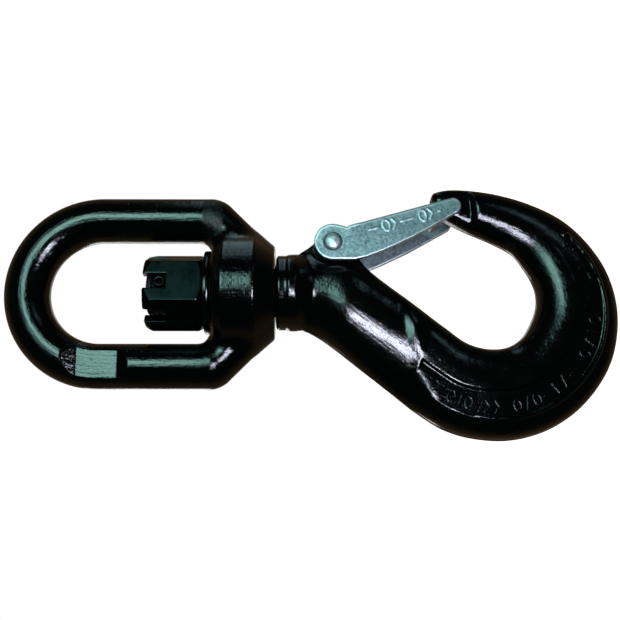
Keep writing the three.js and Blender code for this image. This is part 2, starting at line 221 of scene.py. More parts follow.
# ---------------------------------------------------------------- sizes, as in the CAD unless noted
BAR, BOW, BOW_Z = 9.2, 30.25, -21.13
BOSS_TOP, BOSS_END, BOSS_R, CONE_Z, END_R, BORE = -66.0, -91.4, 23.0, -83.5, 17.3, 10.6
PAD = dict(x=-30.2, z=-21.5, length=16.4, half=9.5, face=7.15)  # its cut reaches past the bar on both sides
COLLAR_R, COLLAR_TOP, COLLAR_END = 15.2, -91.8, -101.0
STATIONS = [  # along the forging: x and z of its back, x and z of its throat side, half thickness, squareness
    (-15.2, -97, 15.2, -97, 15.1, 2.0),
    (-15.6, -103, 16.0, -104, 12.5, 2.1),
    (-18.6, -109, 17.0, -115, 12.5, 2.2),
    (-23.6, -116, 10.4, -127, 12.8, 2.3),
    (-31.6, -126, 2.0, -138, 11.4, 2.5),
    (-40.3, -137, -6.4, -149, 10.4, 2.5),
    (-49.0, -148, -14.6, -159.5, 10.7, 2.5),
    (-55.6, -159, -20.8, -168, 11.3, 2.6),
    (-59.0, -171.5, -23.3, -176.5, 11.6, 2.6),
    (-59.2, -186, -22.6, -184.5, 11.6, 2.6),
    (-54.6, -201, -18.5, -190.9, 11.6, 2.6),
    (-44.6, -215, -11.5, -195.4, 11.6, 2.6),
    (-29.0, -225.9, -4.0, -197.8, 11.4, 2.5),
    (-10.0, -229.9, 3.0, -197.0, 10.8, 2.4),
    (7.0, -227.3, 9.8, -193.4, 9.9, 2.2),
    (20.2, -220.0, 16.2, -188.5, 9.2, 2.1),
    (30.4, -210.0, 19.9, -182.3, 8.9, 2.0),
    (37.3, -197.0, 22.8, -176.1, 8.8, 2.0),
    (41.3, -184.0, 25.4, -170.4, 8.7, 2.1),
    (43.1, -172.0, 27.9, -165.7, 8.6, 2.2),
    (43.2, -162.0, 30.5, -161.0, 8.5, 2.3),
    (42.0, -156.6, 31.5, -158.3, 8.3, 2.4),
]
PIVOT = (17.9, -114.4)
TILT = math.radians(15.7)
LUG_R, LUG_HALF, POCKET_R = 6.2, 5.6, 8.4
RIVET_HOLE_R = 2.8
SHEET, CHEEK_IN, HEEL_R, TOP_V, TIP_U, TIP_R = 2.2, 12.2, 7.3, 4.7, 50.4, 3.4
BEND_R = 1.0
SWEEP_R, SWEEP_HALF = 11.6, 11.6  # flats on the neck that the latch's cheeks sweep
TIP_FLAT = dict(x=33.5, z=-156, r=15.4, half=6.2)  # half is 0.3 less than the CAD's, for the rounded shoulder
WEB_FROM, TONGUE_FROM, TONGUE_DROP, TONGUE_TO, TONGUE_V, TONGUE_HALF = 9.6, 38.2, 5.4, 44.8, -0.5, 4.2
NUT_FLATS, NUT_TOP, NUT_END, SLOT, SLOT_DEPTH, NUT_BORE = 28.4, -39.3, -62.7, 6.0, 9.2, 10.4
NUT_TURN = math.radians(-81.7)
PIN_R, PIN_WALL, PIN_SPLIT, PIN_LENGTH, PIN_Z = 2.4, 0.9, 0.9, 27.0, -45.9
WASHER_R, WASHER_TOP, WASHER_END = 17.0, -63.0, -65.7


# ---------------------------------------------------------------- forged pieces
FORGING = smooth_line(STATIONS, 60)


def eye_field(x, y, z):
    """The swivel eye: a bent bar and two legs that run into a bored boss."""
    ax = np.abs(x)
    bow = np.where(z > BOW_Z, np.abs(np.hypot(x, z - BOW_Z) - BOW), 1e3)
    leg, _ = segment(ax, z, (BOW, BOW_Z), (BOW, -64.6))
    tube = np.hypot(np.minimum(bow, leg), y) - BAR
    root, along = segment(ax, z, (BOW - 0.9, -66.9), (13.0, -85.0))
    tube = smin(tube, np.hypot(root, y) - (BAR - 1.2 * along), 1.6)
    rho = np.hypot(x, y)
    boss = polygon(rho, z, [
        (-5, BOSS_END), (END_R, BOSS_END), (BOSS_R, CONE_Z), (BOSS_R, BOSS_TOP - 4.6),
        (BOSS_R - 1.6, BOSS_TOP - 1.6), (18.8, BOSS_TOP), (-5, BOSS_TOP)])
    boss = smax(boss, z - BOSS_TOP, 0.8)
    d = smin(tube, boss, 4.6)
    d = smax(d, BOSS_END - z, 0.7)
    d = smax(d, -np.maximum(np.maximum(rho - 17.4, BOSS_TOP - z), z - BOSS_TOP - 12), 1.2)
    d = smax(d, -np.maximum(rho - BORE - np.maximum(0, BOSS_END + 1.0 - z), z - BOSS_TOP - 12), 0.5)
    # blank stamping flat on one leg, with a short ramp at each end
    zl, zh = PAD["z"] - PAD["length"] / 2, PAD["z"] + PAD["length"] / 2
    ramp = np.maximum(0.34 * (z - zh), 0.5 * (zl - z))
    flat = y + PAD["face"] + np.maximum(ramp, 0)
    cut = np.maximum(flat, np.abs(x - PAD["x"]) - PAD["half"])
    return smax(d, -cut, 0.25)


def eye_flow(at):
    """Across and along the bar of the bow and legs."""
    x, y, z = at.T
    turn = np.arctan2(x, z - BOW_Z)
    along = np.where(z > BOW_Z, turn * BOW, np.sign(x) * (BOW * math.pi / 2 + BOW_Z - z))
    across = np.where(z > BOW_Z, np.hypot(x, z - BOW_Z), np.abs(x))
    low = np.clip((-62 - z) / 8, 0, 1)
    along = along * (1 - low) + z * low
    return np.stack([across, y, along], 1)


def hook_flat(x, z):
    """On the XZ plane: place across the forging, from -1 at the back to 1 at the throat, half thickness,
    half width, squareness, place along from 0 to 1, and how far a cell is from any known place."""
    # the line runs on past both ends, so that cells there know their place too
    tail = FORGING[-1] + np.arange(1, 30)[:, None] * (FORGING[-1] - FORGING[-4]) / 3
    head = FORGING[0] - np.arange(40, 0, -1)[:, None] * np.array([0, -0.3, 0, -0.3, 0, 0])
    along = np.concatenate([np.zeros(len(head)), np.linspace(0, 1, len(FORGING)), np.ones(len(tail))])
    st = np.vstack([head, FORGING, tail])
    across = np.linspace(-1.45, 1.6, 300)
    h = float(x[1, 0, 0] - x[0, 0, 0])
    shape = (x.shape[0], z.shape[2])
    sums = np.zeros((6,) + shape, np.float64)
    back, throat = st[:, 0:2], st[:, 2:4]
    mid, half = (back + throat) / 2, (throat - back) / 2
    width = np.linalg.norm(half, axis=1)
    for s in across:
        p = mid + half * s
        i = np.round((p[:, 0] - x[0, 0, 0]) / h).astype(int)
        k = np.round((p[:, 1] - z[0, 0, 0]) / h).astype(int)
        ok = (i >= 0) & (i < shape[0]) & (k >= 0) & (k < shape[1])
        for row, value in enumerate((1.0, s, st[:, 4], width, st[:, 5], along)):
            np.add.at(sums[row], (i[ok], k[ok]), np.broadcast_to(value, p.shape[:1])[ok])
    known = sums[0] > 0
    fields = [np.where(known, sums[r] / np.maximum(sums[0], 1), 0) for r in range(1, 6)]
    for _ in range(26):  # known values spread outward by one cell at a time
        if known.all():
            break
        total = np.zeros(shape)
        acc = [np.zeros(shape) for _ in fields]
        for di, dk in ((0, 1), (0, -1), (1, 0), (-1, 0)):
            m = moved(known, di, dk)
            total += m
            for a, f in zip(acc, fields):
                a += moved(f, di, dk) * m
        new = ~known & (total > 0)
        for a, f in zip(acc, fields):
            f[new] = a[new] / total[new]
        known |= new
    for field, anything in zip(fields[1:4], (10, 16, 2.1)):
        field[~known] = anything
    fields.append(1.0 * ~known)
    return [blur(f)[:, None, :].astype(np.float32) for f in fields]


def moved(a, di, dk):
    """A grid shifted by one cell, with nothing coming in at its edge."""
    out = np.zeros_like(a)
    n, m = a.shape
    part = a[max(-di, 0) : n - max(di, 0), max(-dk, 0) : m - max(dk, 0)]
    out[max(di, 0) : n + min(di, 0), max(dk, 0) : m + min(dk, 0)] = part
    return out


def blur(f, times=2):
    """A grid smoothed over its near cells."""
    f = np.pad(f, times, mode="edge")
    for _ in range(times):
        for axis in (0, 1):
            f = 0.25 * np.roll(f, 1, axis) + 0.5 * f + 0.25 * np.roll(f, -1, axis)
    return f[times:-times, times:-times]


def mark(x, z, at, along, kind):
    """A small raised generic mark, narrow and upright on the line it stands on."""
    ux, uz = along
    a, c = (x - at[0]) * ux + (z - at[1]) * uz, -(x - at[0]) * uz + (z - at[1]) * ux
    w = 0.27
    if kind == "ring":
        return np.abs(np.hypot(a, c / 1.55) - 1.4) - w
    if kind == "dot":
        return np.hypot(a, c) - 0.6
    if kind == "bar":
        return segment(a, c, (-1.2, 0), (1.2, 0))[0] - w
    if kind == "tick":
        return segment(a, c, (0, -2.3), (0, 2.3))[0] - w
    if kind == "slash":
        return segment(a, c, (-0.9, -2.3), (0.9, 2.3))[0] - w
    # chevron
    lower, upper = segment(a, c, (-0.9, -2.2), (0.7, 0))[0], segment(a, c, (0.7, 0), (-0.9, 2.2))[0]
    return np.minimum(lower, upper) - w


MARKS = (
    "ring slash ring tick ring _ chevron chevron _ ring slash ring bar tick slash bar _ ring slash tick ring "
    "_ tick tick bar tick _ dot ring"
).split()


PANEL_FLOOR = 9.7  # half the forging's thickness at the floor of the panel, on the line of its marks
GRAIN_LENGTH = 285  # length of the forging along its middle, for the grain
PANEL = 0.262, 0.735  # how far along the forging the panel starts and ends
PANEL_EDGES = 0.19, 0.53  # how far from the back toward the throat its two edges run
MARK_LINE = 0.34  # and the line that its marks stand on
hook_map = {}


def read_map(key, x, z):
    """One of the flat maps made for the hook, between its cells."""
    m = hook_map[key]
    i = np.clip((x - hook_map["x0"]) / hook_map["h"], 0, m.shape[0] - 1.01)
    k = np.clip((z - hook_map["z0"]) / hook_map["h"], 0, m.shape[1] - 1.01)
    a, c = i.astype(int), k.astype(int)
    f, g = i - a, k - c
    low = m[a, c] * (1 - f) * (1 - g) + m[a + 1, c] * f * (1 - g)
    return low + m[a, c + 1] * (1 - f) * g + m[a + 1, c + 1] * f * g


def hook_flow(at):
    """Across and along the forging, read from the flat maps made for its shape."""
    x, z = at[:, 0], at[:, 2]
    return np.stack([read_map("across", x, z), at[:, 1], read_map("along", x, z) * GRAIN_LENGTH], 1)


def tip_cap(x, z):
    """How far a place is past the blunt end of the tip."""
    back, throat = np.array(STATIONS[-1][0:2]), np.array(STATIONS[-1][2:4])
    out = np.array([-(throat - back)[1], (throat - back)[0]])
    out = out / np.linalg.norm(out) * (-1 if out[1] < 0 else 1)
    middle = (back + throat) / 2
    return (x - middle[0]) * out[0] + (z - middle[1]) * out[1] - 1.3


def add_collar_and_lug(d, x, y, z):
    """The collar, the lug for the rivet, and around the rivet the flats, the spring pockets and the hole."""
    rho = np.hypot(x, y)
    collar = polygon(rho, z, [
        (-4, -106), (12.0, -105), (14.6, COLLAR_END), (COLLAR_R, COLLAR_END + 1.4),
        (COLLAR_R, COLLAR_TOP - 0.9), (COLLAR_R - 0.9, COLLAR_TOP), (-4, COLLAR_TOP)])
    d = smin(d, collar, 2.2)
    lug = polygon(x, z, [
        (9, -101.5), (15.6, -101.8), (17.6, -104.8), *arc(*PIVOT, LUG_R, 58, -62, 12), (8, -129), (2, -124)])
    d = smin(d, extrude(lug, y, LUG_HALF, 0.8), 1.6)
    from_pivot = np.hypot(x - PIVOT[0], z - PIVOT[1])
    d = smax(d, -np.maximum(from_pivot - SWEEP_R, SWEEP_HALF - np.abs(y)), 0.9)
    d = smax(d, -np.maximum(from_pivot - POCKET_R, LUG_HALF - np.abs(y)), 0.6)
    return smax(d, RIVET_HOLE_R - from_pivot, 0.3)


def panel_outline(x, z, along):
    """The flat outline of the shallow panel that follows the back; its start is rounder."""
    first, last = (int(end * len(FORGING)) for end in PANEL)
    pick = np.linspace(first, last, 44).astype(int)
    back, throat = FORGING[pick, 0:2], FORGING[pick, 2:4]
    low_rim, high_rim = (back + (throat - back) * share for share in PANEL_EDGES)
    panel = polygon(x, z, [tuple(q) for q in (*low_rim, *high_rim[::-1])])
    round_end = np.clip((0.40 - along) / 0.06, 0, 1)
    return smax(panel, panel + 0.5, 1.0 + 3 * round_end)


def hook_field(x, y, z):
    """The forged hook: a flat shape that is swelled to its thickness, then joined, cut and trimmed."""
    n, b, w, p, along, far = hook_flat(x, z)
    h = float(x[1, 0, 0] - x[0, 0, 0])
    floor_y = PANEL_FLOOR - 0.6 * (n + 0.3) - 0.4 * (1 - step(along, 0.34, 0.42))
    hook_map.update(x0=x[0, 0, 0], z0=z[0, 0, 0], h=h)
    hook_map.update(across=(n * w)[:, 0], along=along[:, 0], floor=floor_y[:, 0])
    # on the throat side the neck starts to thicken into the bowl sooner, and its thickest line lies there
    b = b + 1.0 * (step(along + 0.05 * np.maximum(n, 0), 0.24, 0.27) - step(along, 0.24, 0.27))
    skew = (0.06 + 0.18 * step(along, 0.14, 0.26)) * step(along, 0.05, 0.12) * step(-along, -0.34, -0.26)
    n_edge = n
    n = n - skew * np.maximum(1 - n * n, 0)
    # the back turns squarer toward the bowl
    back_power = np.minimum(p, 2.0 + 0.7 * step(along, 0.25, 0.32))
    p = np.where(n < 0, back_power, p + 0.2 * step(-along, -0.6, -0.45))
    p = p - 0.4 * (1 - step(along, 0.07, 0.12))
    surf = b * np.maximum(1 - np.abs(n) ** p, 0) ** (1 / p)
    f = (np.abs(n) ** p + np.abs(y / b) ** p) ** (1 / p) - 1
    slope = np.sqrt(sum(g * g for g in np.gradient(f, h)))
    d = np.where(far > 0.001, 7, np.clip(f / np.maximum(slope, 0.03), -7, 7))
    del f, slope
    # ends: inside the collar, and the blunt tip with a milled flat on each side, which the latch straddles
    d = smax(d, z + 97.5, 0.4)
    near_tip = (x > 20) & (z > -175)
    d = np.where(near_tip, smax(d, tip_cap(x, z), 2.6), d)
    shoulder = np.hypot(x - TIP_FLAT["x"], z - TIP_FLAT["z"]) - TIP_FLAT["r"]
    d = np.where(near_tip, smax(d, -np.maximum(shoulder, TIP_FLAT["half"] - np.abs(y)), 3.5), d)
    d = add_collar_and_lug(d, x, y, z)
    # the panel, with a bead along its lower rim
    panel = panel_outline(x, z, along)
    d = smax(d, -np.maximum(panel, floor_y - np.abs(y)), 0.7)
    bead = np.hypot(panel + 0.2, (np.abs(y) - surf + 0.15)) - 0.75 * step(along, 0.34, 0.44)
    d = np.where((n < -0.4) & (along > 0.35), smin(d, bead, 0.5), d)
    # trimmed flash along the back of the forging
    outline = (np.abs(n_edge) - 1) * w
    flash = np.maximum(np.maximum(outline - 0.3, np.abs(y) - 0.75), np.maximum(n + 0.5, z + 103))
    flash = np.maximum(flash, -4.0 - outline)
    return smin(d, np.where(near_tip | (along <= 0) | (along >= 0.97) | (far > 0.001), 5.0, flash), 0.5)


def marks_field(x, y, z):
    """Raised generic marks on the floor of the panel. The forging thins toward the tip, so the last three
    stand partly clear of it."""
    first, last = (end * len(FORGING) for end in PANEL)
    marks = np.full((x.shape[0], 1, z.shape[2]), 9.0, np.float32)
    for s, kind in zip(np.linspace(0.07, 0.96, len(MARKS)), MARKS):
        if kind == "_":
            continue
        j = int(first + (last - first) * s)
        back, throat = FORGING[j, 0:2], FORGING[j, 2:4]
        at = back + (throat - back) * MARK_LINE
        ahead = FORGING[j + 3] - FORGING[j - 3]
        tangent = ahead[0:2] + ahead[2:4]
        marks = np.minimum(marks, mark(x, z, at, tangent / np.linalg.norm(tangent), kind))
    return smax(marks, np.abs(np.abs(y) - read_map("floor", x, z)) - 0.42, 0.12)


# ---------------------------------------------------------------- turned and milled pieces
def nut_field(x, y, z):
    """A hexagon nut with chamfers, six slots in its top and a plain bore."""
    c, s = math.cos(NUT_TURN), math.sin(NUT_TURN)
    px, py = x * c + y * s, -x * s + y * c
    flats = [np.abs(px * math.cos(a) + py * math.sin(a)) for a in (0, math.pi / 3, 2 * math.pi / 3)]
    hexagon = np.maximum.reduce(flats) - NUT_FLATS / 2
    rho = np.hypot(x, y)
    d = smax(hexagon, np.maximum(z - NUT_TOP, NUT_END - z), 0.5)
    d = smax(d, (rho - 14.0) * 0.8 + (z - NUT_TOP) * 0.6, 0.3)
    d = smax(d, (rho - 14.4) * 0.62 + (NUT_END - z) * 0.78, 0.3)
    for a in (0, math.pi / 3, 2 * math.pi / 3):
        side = np.abs(-px * math.sin(a) + py * math.cos(a))
        d = smax(d, -np.maximum(side - SLOT / 2, NUT_TOP - SLOT_DEPTH - z), 0.35)
    return smax(d, -(rho - NUT_BORE - 0.1), 0.35)


def pin_field(x, y, z):
    """A rolled pin along X, split along its top."""
    rho = np.hypot(y, z)
    d = np.maximum(rho - PIN_R, PIN_R - PIN_WALL - rho)
    d = smax(d, -np.maximum(np.abs(y) - PIN_SPLIT / 2, -z), 0.2)
    d = smax(d, np.abs(x) - PIN_LENGTH / 2, 0.2)
    return smax(d, (rho - PIN_R + 0.55) * 0.7 + (np.abs(x) - PIN_LENGTH / 2) * 0.7, 0.15)


# ---------------------------------------------------------------- pressed latch
def latch_axes(x, z):
    """Along the latch from its rivet, and away from its marks toward its web."""
    dx, dz = x - PIVOT[0], z - PIVOT[1]
    return dx * math.sin(TILT) - dz * math.cos(TILT), dx * math.cos(TILT) + dz * math.sin(TILT)


CHEEK_EDGE = [
    *arc(0, 0, HEEL_R, 62, 258, 24), (3.2, -8.5), (6.5, -9.4), (11, -9.7), (18, -9.1), (32, -6.7),
    *arc(TIP_U, TOP_V - TIP_R, TIP_R, -80, 90, 16), (34, TOP_V), (WEB_FROM - 1.4, TOP_V),
    (WEB_FROM - 2.4, TOP_V - 0.6), (5.8, 5.1)]
CHEEK_MARKS = (  # place along the cheek, kind, how much longer than usual
    (17.2, "bar", 1.5), (22.4, "ring", 1), (25.8, "chevron", 1), (31.1, "bar", 2.0),
    (37.6, "ring", 1), (41.0, "chevron", 1), (44.6, "bar", 0.5))


def cheek_marks(u, v):
    """Generic marks along each cheek."""
    marks = np.full(np.broadcast(u, v).shape, 9.0, np.float32)
    for at, kind, length in CHEEK_MARKS:
        marks = np.minimum(marks, mark((u - at) / length, v - 0.6, (0, 0), (1, 0), kind))
    return marks


def latch_field(x, y, z):
    """The latch: two cheeks joined by a web, with a tongue that drops under the tip."""
    u, v = latch_axes(x, z)
    side = polygon(u, v, CHEEK_EDGE)
    outer = CHEEK_IN + SHEET
    ay = np.abs(y)
    d = smax(side, ay - outer, 0.55)
    # the bend between web and cheeks, outside and inside
    bend = corner(v - TOP_V, ay - outer, BEND_R)
    here = step(u, WEB_FROM - 4, WEB_FROM + 3)
    d = np.maximum(d, bend * here + (1 - here) * -9)
    d = smax(d, -corner(v - TOP_V + SHEET, ay - CHEEK_IN, BEND_R), 0.4)
    slab = np.maximum(ay - CHEEK_IN, np.minimum(u - WEB_FROM, TONGUE_FROM - u))
    d = smax(d, -slab, 0.5)
    tongue = polygon(u, v, [
        (TONGUE_FROM - 3, TOP_V - SHEET), (TONGUE_FROM - 1, TOP_V - SHEET),
        (TONGUE_FROM + TONGUE_DROP - 1.4, TONGUE_V - SHEET), (TONGUE_TO, TONGUE_V - SHEET),
        (TONGUE_TO, TONGUE_V), (TONGUE_FROM + TONGUE_DROP, TONGUE_V),
        (TONGUE_FROM + 0.6, TOP_V), (TONGUE_FROM - 3, TOP_V)])
    d = smin(d, extrude(tongue, y, TONGUE_HALF, 0.5), 1.0)
    raised = extrude(cheek_marks(u, v), ay - (outer - 0.5), 0.66, 0.1)
    d = smin(d, raised, 0.25)
    return smax(d, RIVET_HOLE_R - np.hypot(x - PIVOT[0], z - PIVOT[1]), 0.2)


def latch_flow(at):
    """Along and across the latch, and how much painted highlight its edges and marks get."""
    u, v = latch_axes(at[:, 0], at[:, 2])
    # painted highlight along the cheek edges, and on the outer faces of the marks
    rim = step(polygon(u, v, CHEEK_EDGE) + 0.55 * (v > TOP_V - 2.2), -0.95, -0.35)
    outside = step(np.abs(at[:, 1]), CHEEK_IN + SHEET - 0.6, CHEEK_IN + SHEET - 0.2)
    return np.stack([u, v, np.maximum(rim, 0.6 * outside * step(-cheek_marks(u, v), -0.2, 0.15))], 1)


# ---------------------------------------------------------------- materials
def material(name, **values):
    """A new material, its node tree and its main shader, with the shader's inputs set."""
    m = bpy.data.materials.new(name)
    m.use_nodes = True
    nt = m.node_tree
    b = nt.nodes["Principled BSDF"]
    for k, v in values.items():
        b.inputs[k].default_value = v
    return m, nt, b


def node(nt, kind, inputs=None, **props):
    """A shader node whose inputs are given as values or as other nodes' outputs."""
    n = nt.nodes.new(kind)
    for k, v in props.items():
        setattr(n, k, v)
    for k, v in (inputs or {}).items():
        if isinstance(v, bpy.types.NodeSocket):
            nt.links.new(v, n.inputs[k])
        else:
            n.inputs[k].default_value = v
    return n


def noise(nt, at, scale, detail, rough=0.5):
    values = {"Vector": at, "Scale": scale, "Detail": detail, "Roughness": rough}
    return node(nt, "ShaderNodeTexNoise", values).outputs["Fac"]


def spread(nt, value, span):
    """A noise's middle range, 0.3 to 0.7, stretched over a span."""
    values = {"Value": value, "From Min": 0.3, "From Max": 0.7, "To Min": span[0], "To Max": span[1]}
    return node(nt, "ShaderNodeMapRange", values).outputs["Result"]


def ramp(nt, fac, stops):
    """Colours at given places, mixed between."""
    n = nt.nodes.new("ShaderNodeValToRGB")
    e = n.color_ramp.elements
    while len(e) < len(stops):
        e.new(0.5)
    for el, (p, c) in zip(e, stops):
        el.position, el.color = p, (*c, 1) if len(c) == 3 else c
    nt.links.new(fac, n.inputs["Fac"])
    return n.outputs["Color"]


def enamel(name, rough, deep):
    """Glossy black enamel over a forged skin. Its relief is slow waves, streaks along the grain, orange peel
    and pits, each with a depth in millimetres."""
    m, nt, b = material(name, **{"Metallic": 0.0, "IOR": 1.5})
    at = node(nt, "ShaderNodeAttribute", attribute_name="flow").outputs["Vector"]
    wave = noise(nt, at, 0.10, 2.0)
    pulled = node(nt, "ShaderNodeMapping", {"Vector": at, "Scale": (1.0, 1.0, 0.07)}).outputs["Vector"]
    streak = noise(nt, pulled, 1.0, 4.0, 0.6)
    peel = noise(nt, at, 0.75, 3.0, 0.6)
    pits = node(nt, "ShaderNodeTexVoronoi", {"Vector": at, "Scale": 0.45, "Randomness": 1.0})
    pit = ramp(nt, pits.outputs["Distance"], [(0.0, (0, 0, 0)), (0.22, (1, 1, 1))])
    nt.links.new(spread(nt, wave, rough), b.inputs["Roughness"])
    colour = ramp(nt, peel, [(0.3, (0.0012, 0.0015, 0.0016)), (0.7, (0.003, 0.0036, 0.0038))])
    nt.links.new(colour, b.inputs["Base Color"])
    normal = None
    for h, reach in zip((wave, streak, peel, pit), deep):
        bump = node(nt, "ShaderNodeBump", {"Height": h, "Strength": 1.0, "Distance": reach * MM})
        if normal:
            nt.links.new(normal, bump.inputs["Normal"])
        normal = bump.outputs["Normal"]
    nt.links.new(normal, b.inputs["Normal"])
    return m


def dark_steel(name):
    """Oiled machined steel with faint tool marks, and a painted highlight along its sharp edges."""
    m, nt, b = material(name, **{"Metallic": 1.0})
    at = node(nt, "ShaderNodeTexCoord").outputs["Object"]
    pulled = node(nt, "ShaderNodeMapping", {"Vector": at, "Scale": (1.0, 1.0, 0.12)}).outputs["Vector"]
    brush = noise(nt, pulled, 1400.0, 3.0)
    cloud = noise(nt, at, 160.0, 4.0, 0.6)
    nt.links.new(spread(nt, cloud, (0.24, 0.38)), b.inputs["Roughness"])
    oiled = ramp(nt, cloud, [(0.3, (0.006, 0.010, 0.0105)), (0.7, (0.012, 0.018, 0.019))])
    # painted highlight: sharp edges are lightened in the base colour, standing in for the bright lines the
    # lamps draw there
    sharp = node(nt, "ShaderNodeNewGeometry").outputs["Pointiness"]
    edge = ramp(nt, sharp, [(0.525, (0, 0, 0)), (0.58, (1, 1, 1))])
    edge_highlight_mix = node(nt, "ShaderNodeMix", {"Factor": edge}, data_type="RGBA")
    nt.links.new(oiled, edge_highlight_mix.inputs["A"])
    edge_highlight_mix.inputs["B"].default_value = (0.20, 0.24, 0.24, 1)
    nt.links.new(edge_highlight_mix.outputs["Result"], b.inputs["Base Color"])
    bump = node(nt, "ShaderNodeBump", {"Height": brush, "Strength": 0.15, "Distance": 0.08 * MM})
    nt.links.new(bump.outputs["Normal"], b.inputs["Normal"])
    return m


def zinc(name, rough, tone, painted_edge_highlight=False):
    """Zinc plate: a fine sparkle and soft clouds, and on pressed sheet a painted highlight at its edges and
    marks.
    """
    m, nt, b = material(name, **{"Metallic": 1.0})
    at = node(nt, "ShaderNodeTexCoord").outputs["Object"]
    cloud = noise(nt, at, 120.0, 5.0, 0.65)
    speck = noise(nt, at, 1300.0, 2.0, 0.7)
    cell = node(nt, "ShaderNodeTexVoronoi", {"Vector": at, "Scale": 1300.0})
    nt.links.new(spread(nt, cloud, rough), b.inputs["Roughness"])
    base = ramp(nt, cloud, [(0.3, [0.80 * c for c in tone]), (0.7, [1.12 * c for c in tone])])
    tint = ramp(nt, cell.outputs["Color"], [(0.0, (0.48, 0.51, 0.53)), (1.0, (1.55, 1.51, 1.49))])
    mix = node(nt, "ShaderNodeMix", data_type="RGBA", blend_type="MULTIPLY")
    mix.inputs["Factor"].default_value = 1.0
    nt.links.new(base, mix.inputs["A"])
    nt.links.new(tint, mix.inputs["B"])
    colour = mix.outputs["Result"]
    # painted highlight: the base colour turns pale where the third part of the flow attribute marks the
    # sheet's edges and marks
    if painted_edge_highlight:
        flow = node(nt, "ShaderNodeAttribute", attribute_name="flow").outputs["Vector"]
        rim = node(nt, "ShaderNodeSeparateXYZ", {"Vector": flow}).outputs["Z"]
        edge_highlight_colour = node(nt, "ShaderNodeMix", {"Factor": rim}, data_type="RGBA")
        nt.links.new(colour, edge_highlight_colour.inputs["A"])
        edge_highlight_colour.inputs["B"].default_value = (0.62, 0.70, 0.72, 1)
        colour = edge_highlight_colour.outputs["Result"]
    nt.links.new(colour, b.inputs["Base Color"])
    bump = node(nt, "ShaderNodeBump", {"Height": speck, "Strength": 0.25, "Distance": 0.1 * MM})
    nt.links.new(bump.outputs["Normal"], b.inputs["Normal"])
    return m


black_eye = enamel("black_enamel_eye", (0.07, 0.11), (0.16, 0.09, 0.07, 0.04))
black_hook = enamel("black_enamel_hook", (0.08, 0.13), (0.16, 0.07, 0.06, 0.03))
black_thread = enamel("black_enamel_thread", (0.5, 0.6), (0.1, 0.05, 0.03, 0.02))
nut_steel = dark_steel("nut_dark_steel")
zinc_sheet = zinc("zinc_pressed_sheet", (0.36, 0.5), (0.235, 0.30, 0.32), painted_edge_highlight=True)
bright = zinc("zinc_bright_steel", (0.42, 0.5), (0.62, 0.70, 0.72))


def finish_piece(ob, mat, body, node_name):
    """Gives a piece its material, attaches it to the body it rides on, and hides the CAD node it stands for.
    """
    ob.data.materials.clear()
    ob.data.materials.append(mat)
    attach(ob, body)
    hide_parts(node_name)
    return ob


# ---------------------------------------------------------------- the pieces
eye = mesh_of("eye_forging", eye_field, (-41, -24.5, -93), (41, 24.5, 20), 0.42, grain=eye_flow)
finish_piece(eye, black_eye, "eye", "swivel_eye")

hook = mesh_of("hook_forging", hook_field, (-61.5, -16.5, -232), (45.5, 16.5, -90), 0.4, grain=hook_flow)


THREAD_R, THREAD_DEPTH, THREAD_PITCH = 9.95, 1.3, 2.5


def thread_wave(a, r, z):
    """The thread of the shank, which fades out at its top."""
    if r < 9.9 or z < -80:
        return r
    phase = (z / THREAD_PITCH - a / (2 * math.pi)) % 1
    return THREAD_R - THREAD_DEPTH * abs(phase - 0.5) * 2 * min(1, max(0, (-40.9 - z) / 1.2))


shank_profile = [(0.01, -40.0), (8.5, -40.0), (9.2, -40.5)]
shank_profile += [(THREAD_R, z) for z in np.arange(-41.0, -66.0, -0.25)]
shank_profile += [(10.0, -66.5), (10.0, -95.0), (0.01, -95.0)]
shank = turned("hook_shank", shank_profile[::-1], wave=thread_wave)
shank.data.materials.append(black_thread)
finish_piece(hook, black_hook, "hook", "hook_body")
for name, near, far in (("hook_marks_near", -13.5, -7.5), ("hook_marks_far", 7.5, 13.5)):
    marks = mesh_of(name, marks_field, (-58, near, -228), (26, far, -148), 0.17, grain=hook_flow)
    marks.data.materials.append(black_hook)
    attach(marks, "hook")
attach(shank, "hook")

nut = mesh_of("slotted_nut_fine", nut_field, (-18.5, -18.5, -63.5), (18.5, 18.5, -38.5), 0.26)
finish_piece(nut, nut_steel, "hook", "slotted_nut")

pin_place = Matrix.Translation((0, 0, PIN_Z * MM)) @ Matrix.Rotation(NUT_TURN, 4, "Z")
pin = mesh_of("spring_pin_fine", pin_field, (-15.2, -3, -3), (15.2, 3, 3), 0.16, pin_place)
finish_piece(pin, nut_steel, "hook", "nut_spring_pin")

round_by, part_way = 0.5, 0.15
washer = turned("thrust_washer_fine", [
    (10.5, WASHER_END), (WASHER_R - round_by, WASHER_END), (WASHER_R - part_way, WASHER_END + part_way),
    (WASHER_R, WASHER_END + round_by), (WASHER_R, WASHER_TOP - round_by),
    (WASHER_R - part_way, WASHER_TOP - part_way), (WASHER_R - round_by, WASHER_TOP), (10.5, WASHER_TOP)])
finish_piece(washer, black_eye, "washer", "thrust_washer")

latch = mesh_of("latch_sheet", latch_field, (7.5, -15.4, -170), (39.5, 15.4, -105.5), 0.26, grain=latch_flow)
finish_piece(latch, zinc_sheet, "latch", "latch_channel")

